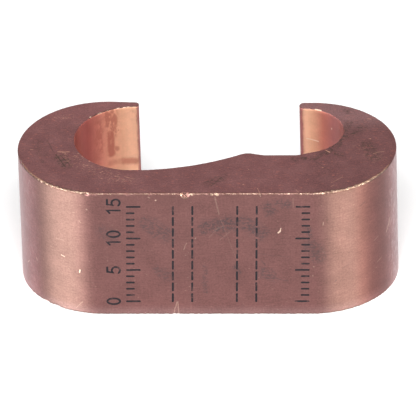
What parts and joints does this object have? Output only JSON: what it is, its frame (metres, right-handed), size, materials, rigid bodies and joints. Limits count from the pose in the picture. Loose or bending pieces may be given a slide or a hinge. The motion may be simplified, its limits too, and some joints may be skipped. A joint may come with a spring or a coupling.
{
  "type": "grounding connector",
  "caption": "Solid copper compression grounding connector: a hooked extruded profile cut to length, with rounded grooves for a ground rod or run conductor and a thinner tap conductor.",
  "frame": {"origin": "middle of the base, which is the lower cut face", "axes": "+X from the run groove to the tap groove, +Y from the closed front face to the open back, +Z along the conductors"},
  "size_m": [0.051, 0.0234, 0.0192],
  "materials": {
    "copper": "dull tarnished copper, worn bright along its edges and inside its grooves"
  },
  "bodies": {
    "root": {"connector_body": "copper"}
  },
  "joints": []
}
